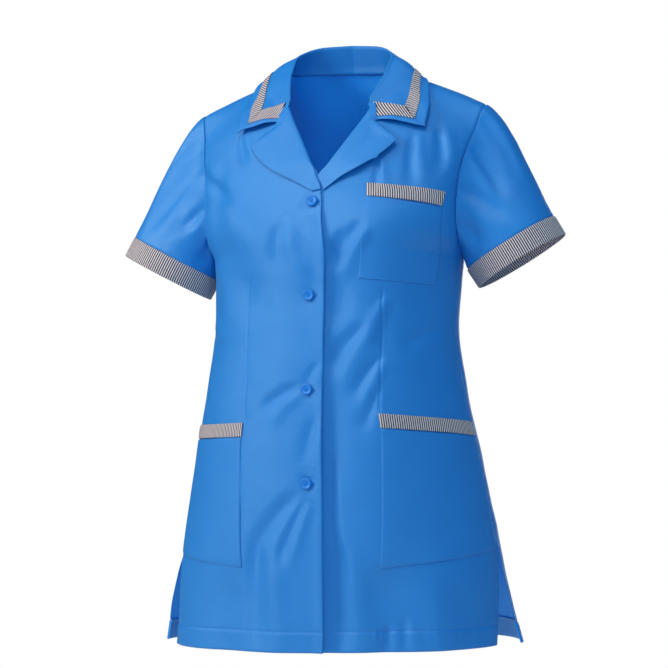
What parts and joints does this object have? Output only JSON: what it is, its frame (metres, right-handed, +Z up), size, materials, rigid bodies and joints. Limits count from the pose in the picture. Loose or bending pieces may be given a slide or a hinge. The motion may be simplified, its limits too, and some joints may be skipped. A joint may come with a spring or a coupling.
{
  "type": "work tunic",
  "caption": "Short-sleeved button-through work tunic in worn form, with notched collar, striped cuffs, collar tape and pocket bands.",
  "frame": {"origin": "middle of the line between the two side-neck points, where the wearer's shoulders hold the garment", "axes": "+Z up, -Y the way the wearer faces, +X to the wearer's left"},
  "size_m": [0.5833, 0.3094, 0.7774],
  "materials": {
    "body_cloth": "plain-woven polyester-cotton, bright mid blue, soft sheen",
    "striped_trim": "fine white and dark striped weave, reads grey from a distance",
    "button": "moulded, body-coloured, satin"
  },
  "bodies": {
    "root": {"front_right": "body_cloth", "front_left": "body_cloth", "back": "body_cloth", "sleeve_right": "body_cloth", "sleeve_left": "body_cloth", "cuff_right": "striped_trim", "cuff_left": "striped_trim", "collar": "body_cloth", "collar_tape": "striped_trim", "lapel_right": "body_cloth", "lapel_left": "body_cloth", "chest_pocket": "body_cloth", "chest_band": "striped_trim", "hip_pocket_right": "body_cloth", "hip_pocket_left": "body_cloth", "hip_band_right": "striped_trim", "hip_band_left": "striped_trim", "button_1": "button", "button_2": "button", "button_3": "button", "button_4": "button"}
  },
  "joints": []
}
